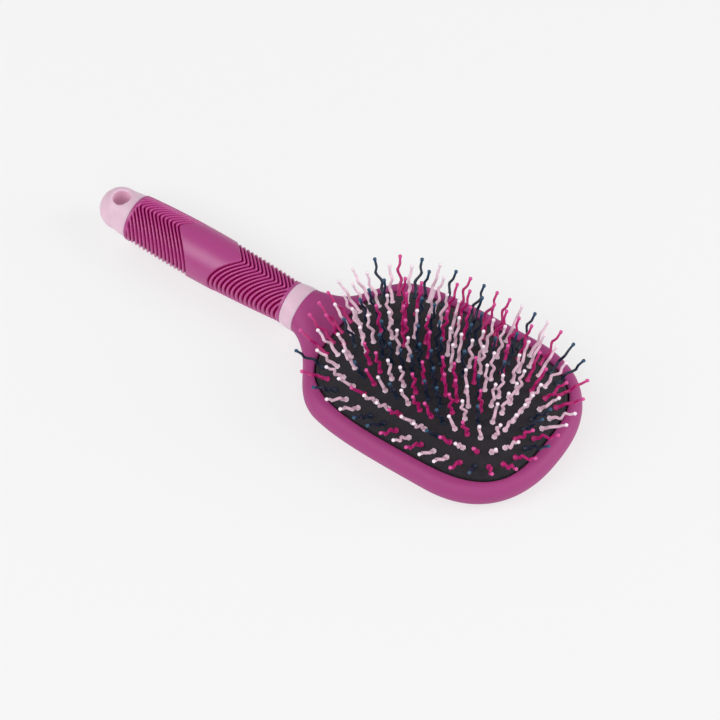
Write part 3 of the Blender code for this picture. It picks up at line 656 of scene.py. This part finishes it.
# where a field is gone, full, full and gone again, in degrees from the top line
COLLAR_FADES = (-165, -150, 150, 165)
CAP_FADES = (-52, -30, 150, 165)
GRIP_COLUMNS = 160
PANEL_ROWS = 30
MAGENTA_RUBBER = (0.4, 0.037, 0.21)
# painted light: the lighter colour laid on the ribs' crowns
RIB_PAINTED_LIGHT = (0.49, 0.048, 0.255)
# painted shade: the darker, redder colour laid into the bottom of the grooves
GROOVE_PAINTED_SHADE = (0.27, 0.0, 0.06)

grip_front = NECK_END_X - COLLAR_LENGTH - JOINT_GAP
grip_end = NECK_END_X - COLLAR_LENGTH - GRIP_LENGTH
grip_curve = np.polyfit(GRIP_SHARES, np.array(GRIP_RADII), 3)


def grip_radius(x):
    """The sleeve's radius: a cubic through four stations."""
    return np.polyval(grip_curve, (NECK_END_X - COLLAR_LENGTH - x) / GRIP_LENGTH)


def field_mask(turn, fades):
    """1 where a field's ribs are full, easing to 0 between its fade angles."""
    degrees = np.degrees((turn + math.pi) % (2 * math.pi) - math.pi)
    far_gone, far_full, near_full, near_gone = fades
    return (ease((degrees - far_gone) / (far_full - far_gone))
            * ease((near_gone - degrees) / (near_gone - near_full)))


def chevron(turn):
    """How far an arm has run back at an angle: the sine, without sign, rounded at its points."""
    return np.sqrt(np.sin(turn) ** 2 + APEX_ROUND ** 2) - APEX_ROUND


turn = np.linspace(0, 2 * math.pi, GRIP_COLUMNS, endpoint=False)
first_groove = NECK_END_X - COLLAR_LENGTH - COLLAR_FIELD_START
last_groove = grip_end + CAP_FIELD_START
# places across one rib and the groove before it, in pitches inward from the first groove
across_rib = np.concatenate([[0], 0.5 + RIB_HALF_SHARE * np.sin(np.radians(RIB_ANGLES))])
steps = (np.arange(GROOVES)[:, None] + across_rib).ravel()
half_rib = len(RIB_ANGLES) // 2
steps = np.concatenate([across_rib[half_rib + 1:] - 1, steps[:-half_rib]])
collar_places = first_groove + steps[::-1] * COLLAR_PITCH
cap_places = last_groove - steps * CAP_PITCH
panel_places = np.linspace(collar_places[-1], cap_places[0], PANEL_ROWS)[1:-1]
places = np.concatenate([collar_places, panel_places, cap_places])
inward = np.concatenate([steps[::-1], np.full(len(panel_places), -0.5), steps])
slants = np.interp(-places, [-collar_places[-1], -cap_places[0]], [1, -1])
off_rib = np.clip(np.abs(inward - np.floor(inward) - 0.5) / RIB_HALF_SHARE, 0, 1)
fall = 1 - (1 - off_rib ** RIB_POWER) ** (1 / RIB_POWER)
mask = np.where((places > (first_groove + last_groove) / 2)[:, None],
                field_mask(turn, COLLAR_FADES), field_mask(turn, CAP_FADES))
front_border = grip_front - GRIP_BORDER
back_border = grip_end + GRIP_BORDER
x = places[:, None] - slants[:, None] * grip_radius(places)[:, None] * chevron(turn)[None, :]
x = np.clip(x, back_border, front_border)
mask = mask * ease(np.minimum(front_border - x, x - back_border) / BORDER_FADE)
sunk = GROOVE_DEPTH * fall + RIB_DROP * np.clip(inward + 0.5, 0, 1)
radius = grip_radius(x) - sunk[:, None] * mask
rib_rows = np.stack([x, -radius * np.sin(turn), AXIS_HEIGHT + radius * np.cos(turn)], -1)
front_rows = [round_row(grip_front - EDGE_BREAK * (1 - math.cos(a)),
                        grip_radius(grip_front) - EDGE_BREAK * (1 - math.sin(a)), GRIP_COLUMNS)
              for a in corner]
front_rows.append(round_row(front_border, grip_radius(front_border), GRIP_COLUMNS))
back_rows = [round_row(back_border, grip_radius(back_border), GRIP_COLUMNS)]
back_rows += [round_row(grip_end + EDGE_BREAK * (1 - math.cos(a)),
                        grip_radius(grip_end) - EDGE_BREAK * (1 - math.sin(a)), GRIP_COLUMNS)
              for a in corner[::-1]]
bore_rows = [round_row(grip_end, bore, GRIP_COLUMNS), round_row(grip_front, bore, GRIP_COLUMNS)]
grip = shell("grip", np.concatenate([front_rows, rib_rows, back_rows, bore_rows]), crisp=70,
             ring=True)


def points_of(thing):
    """All the points of a mesh, as rows of x, y and z."""
    spots = np.empty(len(thing.data.vertices) * 3)
    thing.data.vertices.foreach_get("co", spots)
    return spots.reshape(-1, 3)


# how deep each point lies below the smooth sleeve. It paints shade, darker and redder, into the
# bottom of the grooves, polishes the ribs, whose crowns lie a little lower than the panel, and
# paints them lighter as painted light for the glow where they are thin
spots = points_of(grip)
below = grip_radius(spots[:, 0]) - np.hypot(spots[:, 1], spots[:, 2] - AXIS_HEIGHT)
grip.data.attributes.new("groove_shade", "FLOAT", "POINT").data.foreach_set(
    "value", ease((below / GROOVE_DEPTH - SHADE_FROM) / (1 - SHADE_FROM)))
grip.data.attributes.new("rib_polish_and_light", "FLOAT", "POINT").data.foreach_set("value", ease(below / RIB_DROP))
grip.data.materials.append(moulded("grip_rubber", MAGENTA_RUBBER, roughness=0.41,
                                   grain=0.00035, depth=0.00003, mottle=0.04,
                                   painted_light=GROOVE_PAINTED_SHADE, painted_light_from="groove_shade", shine=0.8,
                                   fade_shine=True, painted_glow=RIB_PAINTED_LIGHT, polish_and_glow_from="rib_polish_and_light",
                                   polish=0.12))
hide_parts("grip_sleeve")
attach(grip, "handle")


# End cap. A pale pink ball-nosed cap, moulded in hard plastic and pressed into the hollow core
# with a spigot. A round hole with a softened edge runs down through the ball for hanging.
FIT_GAP = 0.0003
CAP_CONE = 0.0083
CAP_FACE_RADIUS = 0.0106
CAP_BALL = 0.0096
HOLE_RADIUS = 0.0039
HOLE_ROUND = 0.0012
HOLE_SHIFT = 0.0005
SPIGOT_LENGTH = 0.012
SPIGOT_RADIUS = 0.0039
CAP_COLUMNS = 150
CAP_ROWS = 40
FACE_COUNT = 26
ARC_POINTS = 400
TINT_REACH = 0.0002
# painted light: the lighter, redder pink laid on the wall of the hole
HOLE_WALL_PAINTED_LIGHT = (0.83, 0.54, 0.68)

cap_face = grip_end - JOINT_GAP
ball_x = grip_end - FIT_GAP - CAP_CONE
cap_slope = (CAP_FACE_RADIUS - CAP_BALL) / CAP_CONE
touch = math.atan(cap_slope)


def cap_radius(x):
    """A cone from the sleeve that runs tangent into the ball, its front edge broken round."""
    tangent_x = ball_x + CAP_BALL * math.sin(touch)
    on_ball = np.sqrt(np.clip(CAP_BALL ** 2 - (x - ball_x) ** 2, 0, None))
    on_cone = CAP_BALL * math.cos(touch) + (x - tangent_x) * cap_slope
    into_edge = np.clip(1 - (cap_face - x) / EDGE_BREAK, 0, 1)
    broken = EDGE_BREAK * (1 - np.sqrt(1 - into_edge ** 2))
    return np.where(x < tangent_x, on_ball, on_cone) - broken


arc = np.linspace(-math.pi / 2 - touch, math.pi / 2 + touch, ARC_POINTS)
ball = np.stack([ball_x - CAP_BALL * np.cos(arc), CAP_BALL * np.sin(arc)], -1)
edge = cap_face - EDGE_BREAK * (1 - np.cos(corner))
cone = np.stack([edge, -cap_radius(edge)], -1)
cap_side = even(np.concatenate([cone, ball, cone[::-1] * (1, -1)]), CAP_COLUMNS)
cap_across = np.linspace(1, -1, FACE_COUNT)[1:-1, None]
cap_end = np.concatenate([np.full_like(cap_across, cap_face), cap_side[-1, 1] * cap_across], 1)
cap_outline = np.concatenate([cap_side, cap_end])
hole_centre = np.array([ball_x + HOLE_SHIFT, 0])
spoke = cap_outline - hole_centre
rim = hole_centre + spoke / np.linalg.norm(spoke, axis=1, keepdims=True) * HOLE_RADIUS
# the rows crowd toward the outline and toward the hole, where the surface turns down
crowd = (1 - np.cos(np.linspace(0, math.pi, CAP_ROWS)))[:, None, None] / 2
plan = cap_outline + (rim - cap_outline) * crowd
away = np.linalg.norm(plan - hole_centre, axis=-1) - HOLE_RADIUS
into_hole = np.clip(HOLE_ROUND - away, 0, HOLE_ROUND)
round_off = HOLE_ROUND - np.sqrt(HOLE_ROUND ** 2 - into_hole ** 2)
lift = np.sqrt(np.clip(cap_radius(plan[..., 0]) ** 2 - plan[..., 1] ** 2, 0, None)) - round_off
cap_top = np.concatenate([plan, AXIS_HEIGHT + lift[..., None]], -1)
cap_under = np.concatenate([plan, AXIS_HEIGHT - lift[..., None]], -1)
cap = shell("cap", np.concatenate([cap_top, cap_under[::-1]]), crisp=50, ring=True)
# painted light: the wall of the hole is painted a lighter, redder pink that stands in for the light
# that comes through the plastic
spots = points_of(cap)
from_wall = np.linalg.norm(spots[:, :2] - hole_centre, axis=1) - HOLE_RADIUS
cap.data.attributes.new("hole_wall_light", "FLOAT", "POINT").data.foreach_set(
    "value", ease(1 - from_wall / TINT_REACH))
cap.data.materials.append(moulded("pale_pink_cap", PALE_PINK, painted_light=HOLE_WALL_PAINTED_LIGHT, painted_light_from="hole_wall_light",
                                  **PINK_FINISH))
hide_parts("end_cap")
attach(cap, "handle")

spigot = shell("cap_spigot", [round_row(x, SPIGOT_RADIUS, CORE_COLUMNS)
                              for x in (cap_face, cap_face + SPIGOT_LENGTH)], crisp=40)
spigot.data.materials.append(pink_plastic)
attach(spigot, "handle")


# Studio. Pale paper under the brush that is lit from below as well as above, so that it stays
# near white and keeps only a soft contact shadow, broad soft lights, and the camera at the
# photograph's angle.
PAPER = (0.26, 0.26, 0.26)
PAPER_GLOW = 0.657
PAPER_ROUGHNESS = 0.9
PAPER_HALF = 4
SKY = 0.4
# name, place, side and power of each softbox
SOFTBOXES = (
    ("near_softbox", (-1.08, -1.62, 1.87), 1.8, 32),
    ("camera_softbox", (1.0, -1.7, 1.8), 1.4, 14),
    ("far_softbox", (1.7, 1.1, 1.15), 1.6, 27),
)
AIM = (-0.04038, -0.00195, 0.0015)
AZIMUTH = 34.49
ELEVATION = 54.35
DISTANCE = 1.88916
LENS = 220.05
SENSOR = 36.0
FAR_CLIP = 20

floor_mesh = bpy.data.meshes.new("floor")
floor_mesh.from_pydata([(PAPER_HALF * x, PAPER_HALF * y, 0)
                        for x, y in ((-1, -1), (1, -1), (1, 1), (-1, 1))], [], [(0, 1, 2, 3)])
floor = bpy.data.objects.new("floor", floor_mesh)
bpy.context.scene.collection.objects.link(floor)
paper, _, paper_shader = new_material("studio_paper")
paper_shader.inputs["Base Color"].default_value = (*PAPER, 1)
paper_shader.inputs["Roughness"].default_value = PAPER_ROUGHNESS
paper_shader.inputs["Specular IOR Level"].default_value = 0.0
paper_shader.inputs["Emission Color"].default_value = (1, 1, 1, 1)
paper_shader.inputs["Emission Strength"].default_value = PAPER_GLOW
floor.data.materials.append(paper)

world = bpy.data.worlds.new("studio")
bpy.context.scene.world = world
world.use_nodes = True
world.node_tree.nodes["Background"].inputs["Color"].default_value = (1, 1, 1, 1)
world.node_tree.nodes["Background"].inputs["Strength"].default_value = SKY


def softbox(name, place, size, power):
    """A square area light that faces the brush."""
    lamp = bpy.data.lights.new(name, "AREA")
    lamp.energy = power
    lamp.size = size
    box = bpy.data.objects.new(name, lamp)
    box.location = place
    box.rotation_euler = (Vector(AIM) - Vector(place)).to_track_quat("-Z", "Y").to_euler()
    bpy.context.scene.collection.objects.link(box)


for name, place, size, power in SOFTBOXES:
    softbox(name, place, size, power)

eye = bpy.data.cameras.new("photo_angle")
eye.lens = LENS
eye.sensor_width = SENSOR
camera = bpy.data.objects.new("photo_angle", eye)
turn_a, turn_e = math.radians(AZIMUTH), math.radians(ELEVATION)
back = Vector((math.sin(turn_a) * math.cos(turn_e), -math.cos(turn_a) * math.cos(turn_e),
               math.sin(turn_e)))
camera.location = Vector(AIM) + back * DISTANCE
camera.rotation_euler = back.to_track_quat("Z", "Y").to_euler()
eye.clip_end = FAR_CLIP
bpy.context.scene.collection.objects.link(camera)
bpy.context.scene.camera = camera
bpy.context.scene.view_settings.view_transform = "Standard"
